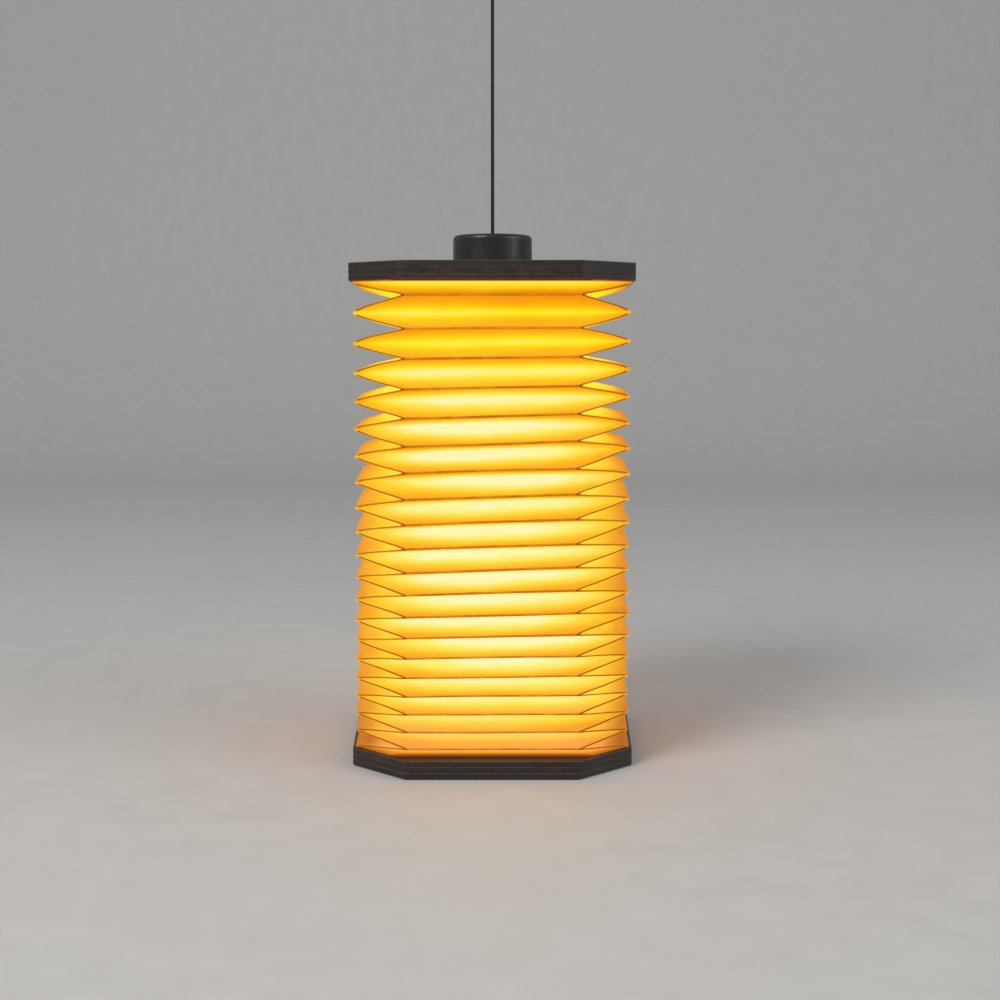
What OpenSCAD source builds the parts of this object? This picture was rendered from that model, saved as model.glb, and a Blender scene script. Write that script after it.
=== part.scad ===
// Folding book lamp: a pleated paper bellows between two laminated covers, lit from inside,
// with a magnetic puck and a hanging cord on top. Millimetres, +Z up. The origin is on the
// surface that the feet stand on, under the middle of the covers. The front faces -Y.

/* [Covers] */
// Width of a cover, measured half-way back
cover_w = 154; // [130:1:220]
// Depth of a cover, front edge to back edge
cover_d = 156; // [130:1:220]
// Leg of the cut across each corner
corner_cut = 28; // [20:1:40]
// How far each side moves out per mm towards the back
side_splay = 0.044; // [0:0.002:0.08]
// Thickness of the outer board of a cover
outer_t = 3.2; // [2.8:0.1:5]
// Thickness of the core board of a cover
core_t = 3.3; // [3.3:0.1:5]
// Thickness of the inner board of a cover
inner_t = 3; // [2.8:0.1:5]
// Bevel along the edge of each board
board_bevel = 0.4; // [0.2:0.1:0.6]
// Gap between the covers when the lamp is open
open_gap = 248; // [160:1:320]

/* [Bellows] */
// Number of full pleats
pleats = 20; // [10:1:24]
// Depth of a fold at the sides, outer crease to inner crease
side_fold = 25.6; // [20:0.2:34]
// Depth of a fold at the front and back
front_fold = 22; // [18:0.2:30]
// Pitch of the top pleat over that of the bottom pleat
pitch_ratio = 1.75; // [1:0.05:2.5]
// Distance of the side creases from the cover's sides
paper_margin = 2.5; // [1.5:0.1:6]
// Distance of the front and back creases from the cover's front and back
front_margin = 6; // [3:0.1:9]
// Paper wall, measured level across its slope
wall_across = 1.2; // [0.8:0.1:2]
// Thickness of the end sheets glued to the covers
sheet_t = 0.4; // [0.3:0.05:0.8]
// Bare edge of a cover beside its end sheet
sheet_margin = 1.4; // [1:0.1:2]
// Bare edge of a cover in front of its end sheet and behind it
sheet_front = 7; // [4:0.1:9]
// Bare edge of a cover across each cut corner of its end sheet
sheet_corner = 3; // [1:0.1:3.2]

/* [Light] */
// Radius of the diffuser
dome_r = 32.2; // [26:0.2:34]
// Height of the curved part of the diffuser
dome_h = 17; // [10:0.5:17]
// Wall of the diffuser
dome_wall = 1.6; // [1.2:0.1:2.4]
// Width of the lamp housing's flange
flange_w = 4.6; // [4.2:0.1:6]
// Thickness of the lamp housing's flange
flange_t = 1.8; // [1.4:0.1:2.4]
// Number of light-emitting chips in the outer ring
outer_leds = 12; // [6:1:16]
// Number of light-emitting chips in the inner ring
inner_leds = 6; // [3:1:8]

/* [Power] */
// Battery width
battery_w = 64; // [50:1:70]
// Battery length, front to back
battery_l = 40; // [30:1:44]
// Battery thickness
battery_t = 4.5; // [3.5:0.1:4.7]
// Control board width
pcb_w = 34; // [32:1:44]
// Control board length, front to back
pcb_l = 21; // [18:1:24]
// Travel of the switch button
button_travel = 0.6; // [0.3:0.05:0.8]

/* [Puck] */
// Radius of the puck
puck_r = 21.7; // [20:0.1:28]
// Height of the puck
puck_h = 16.7; // [15:0.1:24]
// Rounding of the puck's top edge
puck_round = 2.4; // [1:0.1:4]
// Radius of the puck's magnet
magnet_r = 11.5; // [8:0.5:12]
// Thickness of the puck's magnet
magnet_t = 4; // [3:0.5:5]
// Radius of the steel disc in the top cover
keeper_r = 19; // [14:0.5:20]
// Thickness of the steel disc in the top cover
keeper_t = 1.2; // [0.8:0.1:2]

/* [Cord] */
// Diameter of the hanging cord
cord_d = 2; // [1.6:0.1:2.6]

/* [Hidden] */

$fn = 64;
small_fn = 24;

// Clearances
seat_gap = 0.3;         // between pieces that part or slide
fit_gap = 0.2;          // around a piece dropped into its pocket
pocket_gap = 0.5;       // around the battery and the control board
bush_gap = 0.05;        // running fit of the cord bush
screw_gap = 0.1;        // around a screw's shank

// Feet
foot_r = 5;
foot_proud = 0.5;
foot_sunk = 0.8;
foot_in = 16;           // from a cover's edges to a foot's centre

// Heights, from the surface upwards
base_z = foot_proud;
core_z = base_z + outer_t;
inner_z = core_z + core_t;
base_top = inner_z + inner_t;
top_z = base_top + open_gap;
top_core_z = top_z + inner_t;
top_outer_z = top_core_z + core_t;
top_face = top_outer_z + outer_t;

// Plan of the covers
half_w = cover_w / 2;
half_d = cover_d / 2;

// Paper
paper_z0 = base_top + sheet_t;
paper_z1 = top_z - sheet_t - seat_gap;
crease_steps = 3;       // rings of points in each half pleat
fold_power = 1.6;       // how round the side creases are
mean_pitch = (paper_z1 - paper_z0) / pleats;
grade = (pitch_ratio - 1) / (pitch_ratio + 1);

// Lamp housing and diffuser
floor_t = 1.5;
ledge_w = 2;
housing_wall = 1.1;
rim_r = dome_r + seat_gap;
housing_r = rim_r + housing_wall;
flange_r = housing_r + flange_w;
housing_z = inner_z + fit_gap;
led_board_t = 1.6;
led_board_z = housing_z + floor_t;
ledge_z = led_board_z + led_board_t + seat_gap;
flange_top = base_top + flange_t;
led_board_r = rim_r - ledge_w - seat_gap;
skirt_h = 3.5;
dome_steps = 16;
chip_w = 2.8;
chip_l = 3.5;
chip_t = 0.8;
led_screw_in = 4;       // from the light board's edge to its screws
flange_screw_r = (housing_r + flange_r) / 2;
flange_screws = 4;

// Screws
screw_r = 1.1;
screw_head_r = 1.9;
screw_head_t = 1.1;
screw_short = 0.4;      // board or plate left under a screw's tip
small_screw_r = 0.8;
small_head_r = 1.5;
small_head_t = 0.8;
small_tip_gap = 0.3;    // under the tip of a small screw

// Edges
edge_break = 0.4;       // chamfer on small turned edges
housing_break = 0.6;    // chamfer on the lamp housing's edges

// Battery and control board
battery_y = -16;
battery_z = inner_z - fit_gap - battery_t;
battery_corner = 2.5;
pcb_t = 1;
pcb_wall = 2.5;         // board left between the control board's pocket and the back edge
pcb_y1 = half_d - pcb_wall - pocket_gap;
pcb_y0 = pcb_y1 - pcb_l;
pcb_screw_in = 2.6;     // from the control board's edges to its screws
pcb_screw_x = pcb_w / 2 - pcb_screw_in;
pcb_screw_y = pcb_y0 + pcb_screw_in;
board_screw_l = 1.4;    // length of a board screw in the wood
lead_r = 0.6;
lead_pitch = 2.5;
lead_over = 3;          // length of a lead on the control board
lead_z = core_z + pcb_t + lead_r + 0.05;
lead_x = 10.5;
led_lead_y = 20;
lead_channel_w = 6.4;
lead_hole_r = 2.6;

// Charging socket
socket_w = 9;
socket_h = 3.1;
socket_l = 7.4;
socket_wall = 0.3;
socket_in = 0.3;        // from the cover's back edge
socket_back = 1.2;      // wall behind the socket's mouth
socket_z = core_z + 0.1 + socket_h / 2;
tongue_w = 6.7;
tongue_t = 0.7;
tongue_in = 1;          // from the socket's mouth to its tongue

// Switch
switch_x = 12;
cap_w = 6;
cap_h = 2;
cap_flange_w = 8;
cap_flange_h = 2.4;
cap_flange_t = 0.8;
cap_in = 0.2;           // from the cover's back edge
cap_z = core_z + core_t / 2;
pocket_y1 = pcb_y1 + pocket_gap;
cap_flange_y = pocket_y1 - seat_gap;
tact_w = 4.5;
tact_h = 2;
tact_l = 2.6;
nub_w = 2;
nub_h = 1.2;
nub_l = 0.4;
nub_y = cap_flange_y - cap_flange_t - button_travel - fit_gap;
tact_y = nub_y - nub_l;

// Puck
puck_z = top_face + seat_gap;
puck_top = puck_z + puck_h;
puck_wall = 2;
puck_lid_t = 2.5;
cavity_r = puck_r - puck_wall;
ceiling_z = puck_top - puck_lid_t;
plate_in = 0.2;
plate_t = 1.5;
plate_z = puck_z + plate_in;
magnet_z = plate_z + plate_t;
boss_r = 2.6;
boss_in = 0.6;          // between a boss and the puck's wall
boss_at = cavity_r - boss_r - boss_in;
puck_screw_count = 3;
puck_screw_l = 5;
puck_sink = 1;          // depth of the plate's recess for a screw's head
bush_neck_r = 2.5;
bush_flange_r = 4.6;
bush_flange_t = 1.8;
bush_proud = 0.5;
bush_break = 0.3;
bush_drop = 0.1;
bush_z = ceiling_z - bush_drop - bush_flange_t;
knot_r = 2.4;
knot_h = 3.6;

// Cord and its loop. The cord's points are heights above the bush's foot.
cord_r = cord_d / 2;
cord_sides = 8;
cord_rise = [0, 10, 20, 40, 60, 80, 100, 120, 135, 144];
cord_route = [for (h = cord_rise) [0, 0, bush_z + h]];
cord_end = bush_z + cord_rise[len(cord_rise) - 1];
ferrule_l = 8;
ferrule_r = 2.4;
loop_z = cord_end + ferrule_l;
loop_leg = cord_r + 0.1;
loop_r = 7.5;
loop_rise = 12;
loop_foot = [[0, 0], [0, 1], [0.3, 2.5]];   // start of a leg: outwards, upwards
loop_turns = 14;        // steps round the loop
loop_open = 40;         // half the angle left open at the loop's foot

// ---------- plan of a cover ----------

// A rectangle from -w to w and -d to d with its corners cut by c, wider at the back by the splay
module cut_plan(w, d, c) {
    polygon([for (p = [[w - c, -d], [w, c - d], [w, d - c], [w - c, d],
                       [c - w, d], [-w, d - c], [-w, c - d], [c - w, -d]])
        [p.x + sign(p.x) * side_splay * p.y, p.y]]);
}

// The cover's outline moved in by inset
module plan(inset = 0) {
    cut_plan(half_w - inset, half_d - inset, corner_cut - inset * (2 - sqrt(2)));
}

module sheet_plan() {
    cut_plan(half_w - sheet_margin, half_d - sheet_front,
             corner_cut - sheet_margin - sheet_front + sqrt(2) * sheet_corner);
}

// A board with a small bevel along both edges
module board_blank(z, t) {
    hull() {
        translate([0, 0, z]) linear_extrude(t) plan(board_bevel);
        translate([0, 0, z + board_bevel]) linear_extrude(t - 2 * board_bevel) plan();
    }
}

module rounded_rect(w, l, r) {
    square([w - 2 * r, l], center = true);
    square([w, l - 2 * r], center = true);
    for (x = [-1, 1], y = [-1, 1])
        translate([x * (w / 2 - r), y * (l / 2 - r)]) circle(r, $fn = small_fn);
}

// A bar with round sides, lying along Y from y0 to y1
module stadium_bar(w, h, y0, y1) {
    translate([0, y1, 0]) rotate([90, 0, 0]) linear_extrude(y1 - y0) rounded_rect(w, h, h / 2 - 0.01);
}

module at_feet() {
    for (side = [-1, 1], end = [-1, 1])
        translate([side * (half_w - foot_in + side_splay * end * (half_d - corner_cut)),
                   end * (half_d - corner_cut), 0])
            children();
}

module at_flange_screws() {
    for (i = [0 : flange_screws - 1])
        rotate(45 + i * 360 / flange_screws) translate([flange_screw_r, 0, 0]) children();
}

module at_led_screws() {
    for (side = [-1, 1]) translate([side * (led_board_r - led_screw_in), 0, 0]) children();
}

module at_board_screws() {
    for (side = [-1, 1]) translate([side * pcb_screw_x, pcb_screw_y, 0]) children();
}

// A screw with its head's seat at z = 0 and its shank going down
module screw(shank_r, shank_l, head_r, head_t) {
    translate([0, 0, -shank_l]) cylinder(r = shank_r, h = shank_l, $fn = small_fn);
    difference() {
        rotate_extrude($fn = 32)
            polygon([[0, 0], [head_r, 0], [head_r, head_t * 0.55], [head_r * 0.75, head_t], [0, head_t]]);
        for (a = [0, 90])
            rotate(a) translate([0, 0, head_t])
                cube([head_r * 1.1, head_r * 0.28, head_t], center = true);
    }
}

// ---------- base ----------

module base_outer_board() {
    color([0.10, 0.07, 0.05]) difference() {
        board_blank(base_z, outer_t);
        at_feet() translate([0, 0, base_z - 1]) cylinder(r = foot_r + fit_gap, h = foot_sunk + 1);
        translate([0, battery_y, battery_z]) linear_extrude(outer_t + 1)
            rounded_rect(battery_w + 2 * pocket_gap, battery_l + 2 * pocket_gap, battery_corner);
        at_board_screws() translate([0, 0, core_z - board_screw_l - small_tip_gap])
            cylinder(r = small_screw_r + screw_gap, h = board_screw_l + 1, $fn = small_fn);
    }
}

module base_core_board() {
    color([0.12, 0.08, 0.06]) difference() {
        board_blank(core_z, core_t);
        translate([0, 0, core_z - 1]) linear_extrude(core_t + 2) {
            translate([0, battery_y])
                rounded_rect(battery_w + 2 * pocket_gap, battery_l + 2 * pocket_gap, battery_corner);
            translate([0, (pcb_y0 + pcb_y1) / 2])
                rounded_rect(pcb_w + 2 * pocket_gap, pcb_l + 2 * pocket_gap, 1);
            translate([lead_x - lead_channel_w / 2, battery_y])
                square([lead_channel_w, pcb_y0 - battery_y + 1]);
            translate([-lead_x - lead_channel_w / 2, led_lead_y - lead_channel_w / 2])
                square([lead_channel_w, pcb_y0 - led_lead_y + lead_channel_w]);
            translate([-socket_w / 2 - fit_gap, pcb_y1 - 1]) square([socket_w + 2 * fit_gap, half_d]);
        }
        translate([switch_x, 0, cap_z])
            stadium_bar(cap_w + 2 * fit_gap, cap_h + 2 * fit_gap, pcb_y1, half_d + 1);
    }
}

module base_inner_board() {
    color([0.12, 0.08, 0.06]) difference() {
        board_blank(inner_z, inner_t);
        translate([0, 0, inner_z - 1]) cylinder(r = housing_r + fit_gap, h = inner_t + 2, $fn = 96);
        at_flange_screws() translate([0, 0, inner_z - 1])
            cylinder(r = screw_r + screw_gap, h = inner_t + 2, $fn = small_fn);
    }
}

module base_end_sheet() {
    color([0.97, 0.95, 0.90]) difference() {
        translate([0, 0, base_top]) linear_extrude(sheet_t) sheet_plan();
        translate([0, 0, base_top - 1]) cylinder(r = flange_r + fit_gap, h = sheet_t + 2, $fn = 96);
    }
}

module feet() {
    color([0.05, 0.05, 0.05]) at_feet() rotate_extrude($fn = 48)
        polygon([[0, 0], [foot_r - edge_break, 0], [foot_r, foot_proud],
                 [foot_r, foot_proud + foot_sunk], [0, foot_proud + foot_sunk]]);
}

module battery() {
    color([0.75, 0.76, 0.78]) {
        translate([0, battery_y, battery_z]) linear_extrude(battery_t)
            rounded_rect(battery_w, battery_l, battery_corner);
    }
}

// A pair of leads side by side from y0 to y1 at lead height
module lead_pair(x, y0, y1) {
    for (side = [-1, 1])
        translate([x + side * lead_pitch / 2, y0, lead_z]) rotate([-90, 0, 0])
            cylinder(r = lead_r, h = y1 - y0, $fn = small_fn);
}

module battery_leads() {
    color([0.70, 0.10, 0.08]) lead_pair(lead_x, battery_y + battery_l / 2, pcb_y0 + lead_over);
}

module led_leads() {
    color([0.15, 0.15, 0.16]) {
        lead_pair(-lead_x, led_lead_y, pcb_y0 + lead_over);
        for (side = [-1, 1])
            translate([-lead_x + side * lead_pitch / 2, led_lead_y, lead_z]) {
                sphere(r = lead_r, $fn = small_fn);
                cylinder(r = lead_r, h = led_board_z - lead_z, $fn = small_fn);
            }
    }
}

// The board is cut away round the socket and behind the switch's button
module control_board() {
    color([0.05, 0.30, 0.15]) difference() {
        translate([-pcb_w / 2, pcb_y0, core_z]) cube([pcb_w, pcb_l, pcb_t]);
        translate([-socket_w / 2 - fit_gap, half_d - socket_in - socket_l - fit_gap, core_z - 1])
            cube([socket_w + 2 * fit_gap, socket_l + 2, pcb_t + 2]);
        translate([switch_x - cap_flange_w / 2 - pocket_gap, tact_y, core_z - 1])
            cube([pcb_w, pcb_l, pcb_t + 2]);
        at_board_screws() translate([0, 0, core_z - 1])
            cylinder(r = small_screw_r + screw_gap, h = pcb_t + 2, $fn = small_fn);
    }
}

// Width, length, height and place on the board of each part: charger, driver, inductor, capacitors
board_parts = [[4, 4, 0.9, 0, 6], [3, 3, 0.9, 6, 12], [4.2, 4.2, 1.9, -6, 12],
    [2, 1.2, 0.9, 0, 11], [2, 1.2, 0.9, 5.5, 7.5], [2, 1.2, 0.9, -10.5, 9], [1.6, 0.8, 0.6, 10, 15]];

module board_components() {
    color([0.12, 0.12, 0.13])
        for (p = board_parts)
            translate([p[3] - p[0] / 2, pcb_y0 + p[4] - p[1] / 2, core_z + pcb_t])
                cube([p[0], p[1], p[2]]);
}

module board_screws() {
    color("silver") at_board_screws() translate([0, 0, core_z + pcb_t])
        screw(small_screw_r, board_screw_l + pcb_t, small_head_r, small_head_t);
}

module charge_socket() {
    y1 = half_d - socket_in;
    color([0.72, 0.73, 0.75]) translate([0, 0, socket_z]) {
        difference() {
            stadium_bar(socket_w, socket_h, y1 - socket_l, y1);
            stadium_bar(socket_w - 2 * socket_wall, socket_h - 2 * socket_wall,
                        y1 - socket_l + socket_back, y1 + 1);
        }
        translate([-tongue_w / 2, y1 - socket_l + socket_back / 2, -tongue_t / 2])
            cube([tongue_w, socket_l - socket_back / 2 - tongue_in, tongue_t]);
    }
}

module tact_switch() {
    color([0.15, 0.15, 0.16]) {
        translate([switch_x - tact_w / 2, tact_y - tact_l, core_z + pcb_t])
            cube([tact_w, tact_l, tact_h]);
        translate([switch_x, 0, cap_z]) stadium_bar(nub_w, nub_h, tact_y - nub_l, nub_y);
    }
}

module switch_button() {
    color([0.08, 0.08, 0.08]) translate([switch_x, 0, cap_z]) {
        stadium_bar(cap_w, cap_h, cap_flange_y - cap_flange_t, half_d - cap_in);
        stadium_bar(cap_flange_w, cap_flange_h, cap_flange_y - cap_flange_t, cap_flange_y);
    }
}

// ---------- light ----------

module light_housing() {
    color([0.93, 0.93, 0.91]) difference() {
        rotate_extrude($fn = 96)
            polygon([[0, housing_z], [housing_r - housing_break, housing_z],
                     [housing_r, housing_z + housing_break], [housing_r, base_top],
                     [flange_r, base_top], [flange_r, flange_top - housing_break],
                     [flange_r - housing_break, flange_top], [rim_r, flange_top], [rim_r, ledge_z],
                     [rim_r - ledge_w, ledge_z], [rim_r - ledge_w, led_board_z], [0, led_board_z]]);
        translate([-lead_x, led_lead_y, housing_z - 1])
            cylinder(r = lead_hole_r, h = floor_t + 2, $fn = 32);
        at_flange_screws() translate([0, 0, base_top - 1])
            cylinder(r = screw_r + 2 * screw_gap, h = flange_t + 2, $fn = small_fn);
        at_led_screws() translate([0, 0, housing_z - 1])
            cylinder(r = small_screw_r + screw_gap, h = floor_t + 2, $fn = small_fn);
    }
}

module light_housing_screws() {
    color("silver") at_flange_screws() translate([0, 0, flange_top])
        screw(screw_r, flange_t + inner_t - screw_short, screw_head_r, screw_head_t);
}

module led_board() {
    color([0.95, 0.95, 0.94]) difference() {
        translate([0, 0, led_board_z]) cylinder(r = led_board_r, h = led_board_t, $fn = 96);
        at_led_screws() translate([0, 0, led_board_z - 1])
            cylinder(r = small_screw_r + screw_gap, h = led_board_t + 2, $fn = small_fn);
    }
}

module led_board_screws() {
    color("silver") at_led_screws() translate([0, 0, led_board_z + led_board_t])
        screw(small_screw_r, led_board_t + floor_t - small_tip_gap, small_head_r, small_head_t);
}

module led_ring(count, r, turn) {
    for (i = [0 : count - 1])
        rotate(turn + i * 360 / count)
            translate([r - chip_w / 2, -chip_l / 2, led_board_z + led_board_t])
                cube([chip_w, chip_l, chip_t]);
}

module led_chips() {
    color([1.0, 0.85, 0.35]) {
        led_ring(outer_leds, led_board_r * 0.72, 180 / outer_leds);
        led_ring(inner_leds, led_board_r * 0.36, 0);
    }
}

// Half section of the dome: skirt, then a quarter ellipse to the axis
function dome_profile(r, h) =
    [for (i = [0 : dome_steps]) let (a = 90 * i / dome_steps) [r * cos(a), ledge_z + skirt_h + h * sin(a)]];

module light_diffuser() {
    inner = dome_profile(dome_r - dome_wall, dome_h - dome_wall);
    color([1.0, 0.97, 0.88]) rotate_extrude($fn = 96)
        polygon(concat([[dome_r, ledge_z]], dome_profile(dome_r, dome_h),
                       [for (i = [len(inner) - 1 : -1 : 0]) inner[i]], [[dome_r - dome_wall, ledge_z]]));
}

// ---------- paper bellows ----------

// Height of crease j, counted from the base: even creases run out at the sides, odd ones at the
// front and back. The pitch grows evenly from the bottom pleat to the top one.
function full_crease_z(i) = paper_z0 + mean_pitch * (i - grade * i * (pleats - i) / max(1, pleats - 1));
function crease_z(j) = (j % 2 == 0) ? full_crease_z(j / 2)
    : (full_crease_z((j - 1) / 2) + full_crease_z((j + 1) / 2)) / 2;

// Share of the fold reached at share w of a half pleat: round at the side crease, sharp at the front
function fold_share(w) = pow(w, fold_power);

// Four corners at height z, where fold is 0 on a side crease and 1 on a front crease
function paper_ring(z, fold, skin) =
    let (w = half_w - paper_margin - fold * side_fold + skin,
         d = half_d - front_margin - (1 - fold) * front_fold + skin)
    [for (p = [[1, -1], [1, 1], [-1, 1], [-1, -1]])
        [p.x * (w + side_splay * p.y * d), p.y * d, z]];

// [height, fold] of every ring, from the base to the top cover
paper_levels = concat(
    [for (j = [0 : 2 * pleats - 1], s = [0 : crease_steps - 1])
        let (w = s / crease_steps, up = (j % 2 == 0))
        [crease_z(j) + w * (crease_z(j + 1) - crease_z(j)), up ? fold_share(w) : fold_share(1 - w)]],
    [[crease_z(2 * pleats), 0]]);

module paper_bellows() {
    rings = len(paper_levels);
    n = 4 * rings;
    outer = [for (l = paper_levels) each paper_ring(l[0], l[1], wall_across / 2)];
    inner = [for (l = paper_levels) each paper_ring(l[0], l[1], -wall_across / 2)];
    walls = [for (r = [0 : rings - 2], c = [0 : 3])
        let (a = 4 * r + c, b = 4 * r + (c + 1) % 4)
        each [[a, a + 4, b + 4, b], [n + b, n + b + 4, n + a + 4, n + a]]];
    ends = [for (c = [0 : 3])
        let (d = (c + 1) % 4, t = n - 4)
        each [[t + d, t + c, n + t + c, n + t + d], [c, d, n + d, n + c]]];
    color([1.0, 0.78, 0.28]) polyhedron(concat(outer, inner), concat(walls, ends));
}

// ---------- top cover ----------

module top_end_sheet() {
    color([0.97, 0.95, 0.90]) translate([0, 0, top_z - sheet_t]) linear_extrude(sheet_t) sheet_plan();
}

module top_inner_board() {
    color([0.12, 0.08, 0.06]) board_blank(top_z, inner_t);
}

module top_core_board() {
    color([0.12, 0.08, 0.06]) board_blank(top_core_z, core_t);
}

module top_outer_board() {
    color([0.10, 0.07, 0.05]) difference() {
        board_blank(top_outer_z, outer_t);
        translate([0, 0, top_face - keeper_t]) cylinder(r = keeper_r + fit_gap, h = keeper_t + 1, $fn = 96);
    }
}

module keeper_disc() {
    color([0.45, 0.46, 0.48]) translate([0, 0, top_face - keeper_t])
        cylinder(r = keeper_r, h = keeper_t, $fn = 96);
}

// ---------- puck and cord ----------

module at_puck_bosses() {
    for (i = [0 : puck_screw_count - 1])
        rotate(90 + i * 360 / puck_screw_count) translate([boss_at, 0, 0]) children();
}

// Quarter round from the wall to the top face
function round_points(r, z, q) =
    [for (a = [0 : 15 : 90]) [r - q + q * cos(a), z - q + q * sin(a)]];

module puck_shell() {
    color([0.07, 0.06, 0.06]) difference() {
        union() {
            rotate_extrude($fn = 96)
                polygon(concat([[cavity_r, puck_z], [puck_r - edge_break, puck_z],
                                [puck_r, puck_z + edge_break]],
                               round_points(puck_r, puck_top, puck_round),
                               [[bush_neck_r + bush_gap, puck_top], [bush_neck_r + bush_gap, ceiling_z],
                                [cavity_r, ceiling_z]]));
            at_puck_bosses() translate([0, 0, magnet_z])
                cylinder(r = boss_r, h = ceiling_z - magnet_z + 0.5, $fn = 32);
        }
        at_puck_bosses() translate([0, 0, magnet_z - 1])
            cylinder(r = small_screw_r + screw_gap, h = puck_screw_l + 1, $fn = small_fn);
    }
}

module puck_plate() {
    color([0.40, 0.41, 0.43]) difference() {
        translate([0, 0, plate_z]) cylinder(r = cavity_r - fit_gap, h = plate_t, $fn = 96);
        at_puck_bosses() {
            translate([0, 0, plate_z - 1])
                cylinder(r = small_screw_r + screw_gap, h = plate_t + 2, $fn = small_fn);
            translate([0, 0, plate_z - 1])
                cylinder(r = small_head_r + fit_gap, h = puck_sink + 1, $fn = small_fn);
        }
    }
}

module puck_magnet() {
    color([0.70, 0.71, 0.73]) translate([0, 0, magnet_z]) cylinder(r = magnet_r, h = magnet_t);
}

module puck_screws() {
    color("silver") at_puck_bosses() translate([0, 0, plate_z + puck_sink]) mirror([0, 0, 1])
        screw(small_screw_r, puck_screw_l - puck_sink, small_head_r, small_head_t);
}

module cord_bush() {
    neck_top = puck_top + bush_proud;
    color([0.55, 0.45, 0.28]) rotate_extrude($fn = 48)
        polygon([[cord_r + bush_gap, bush_z], [bush_flange_r, bush_z],
                 [bush_flange_r, bush_z + bush_flange_t], [bush_neck_r, bush_z + bush_flange_t],
                 [bush_neck_r, neck_top - bush_break],
                 [bush_neck_r - bush_break, neck_top], [cord_r + bush_gap, neck_top]]);
}

module cord_knot() {
    color([0.10, 0.09, 0.09]) rotate_extrude($fn = 32)
        polygon([[0, bush_z - knot_h], [knot_r * 0.6, bush_z - knot_h], [knot_r, bush_z - knot_h * 0.7],
                 [knot_r, bush_z - knot_h * 0.3], [knot_r * 0.6, bush_z], [0, bush_z]]);
}

// Unit direction at point i of a route
function along(route, i) =
    let (a = route[max(0, i - 1)], b = route[min(len(route) - 1, i + 1)]) (b - a) / norm(b - a);

// A round tube along a route that lies in the XZ plane
module tube(route, r) {
    last = len(route) - 1;
    points = [for (i = [0 : last]) let (t = along(route, i), side = [t.z, 0, -t.x])
        for (k = [0 : cord_sides - 1]) let (a = 360 * k / cord_sides)
        route[i] + r * (cos(a) * side + sin(a) * [0, 1, 0])];
    walls = [for (i = [0 : last - 1], k = [0 : cord_sides - 1])
        let (a = i * cord_sides + k, b = i * cord_sides + (k + 1) % cord_sides)
        [a, a + cord_sides, b + cord_sides, b]];
    ends = [[for (k = [0 : cord_sides - 1]) k],
            [for (k = [cord_sides - 1 : -1 : 0]) last * cord_sides + k]];
    polyhedron(points, concat(walls, ends));
}

module hanging_cord() {
    color([0.10, 0.09, 0.09]) tube(cord_route, cord_r);
}

module loop_ferrule() {
    color([0.20, 0.19, 0.18]) rotate_extrude($fn = 32)
        polygon([[0, cord_end], [ferrule_r - edge_break, cord_end], [ferrule_r, cord_end + edge_break],
                 [ferrule_r, loop_z - edge_break], [ferrule_r - edge_break, loop_z], [0, loop_z]]);
}

loop_route = concat([for (p = loop_foot) [-loop_leg - p.x, 0, loop_z + p.y]],
    [for (i = [0 : loop_turns]) let (a = 270 - loop_open - i * (360 - 2 * loop_open) / loop_turns)
        [loop_r * cos(a), 0, loop_z + loop_rise + loop_r * sin(a)]],
    [for (i = [len(loop_foot) - 1 : -1 : 0]) [loop_leg + loop_foot[i].x, 0, loop_z + loop_foot[i].y]]);

module cord_loop() {
    color([0.10, 0.09, 0.09]) tube(loop_route, cord_r);
}

base_outer_board();
base_core_board();
base_inner_board();
base_end_sheet();
feet();
battery();
battery_leads();
control_board();
board_components();
board_screws();
charge_socket();
tact_switch();
light_housing();
light_housing_screws();
led_board();
led_board_screws();
led_chips();
led_leads();
light_diffuser();
paper_bellows();
switch_button();
top_end_sheet();
top_inner_board();
top_core_board();
top_outer_board();
keeper_disc();
puck_shell();
puck_magnet();
puck_plate();
puck_screws();
cord_bush();
cord_knot();
hanging_cord();
loop_ferrule();
cord_loop();
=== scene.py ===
import math

import bpy
import bmesh
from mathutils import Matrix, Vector


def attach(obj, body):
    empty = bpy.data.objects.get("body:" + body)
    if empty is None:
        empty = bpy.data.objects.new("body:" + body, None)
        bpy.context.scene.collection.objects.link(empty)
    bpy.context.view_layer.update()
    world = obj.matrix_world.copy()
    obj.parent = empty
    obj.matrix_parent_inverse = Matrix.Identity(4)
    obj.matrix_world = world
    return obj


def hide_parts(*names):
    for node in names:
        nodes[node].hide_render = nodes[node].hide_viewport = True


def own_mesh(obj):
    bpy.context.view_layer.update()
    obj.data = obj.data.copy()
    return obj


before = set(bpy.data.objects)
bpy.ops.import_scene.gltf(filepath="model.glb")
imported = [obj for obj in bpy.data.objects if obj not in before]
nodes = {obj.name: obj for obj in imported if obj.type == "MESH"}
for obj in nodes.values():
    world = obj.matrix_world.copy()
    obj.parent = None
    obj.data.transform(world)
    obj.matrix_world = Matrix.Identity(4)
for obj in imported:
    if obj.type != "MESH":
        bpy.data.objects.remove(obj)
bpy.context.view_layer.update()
scene = bpy.context.scene
mm = 0.001
print("frame loaded:", len(nodes), "nodes")


# node trees written as expressions

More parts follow.
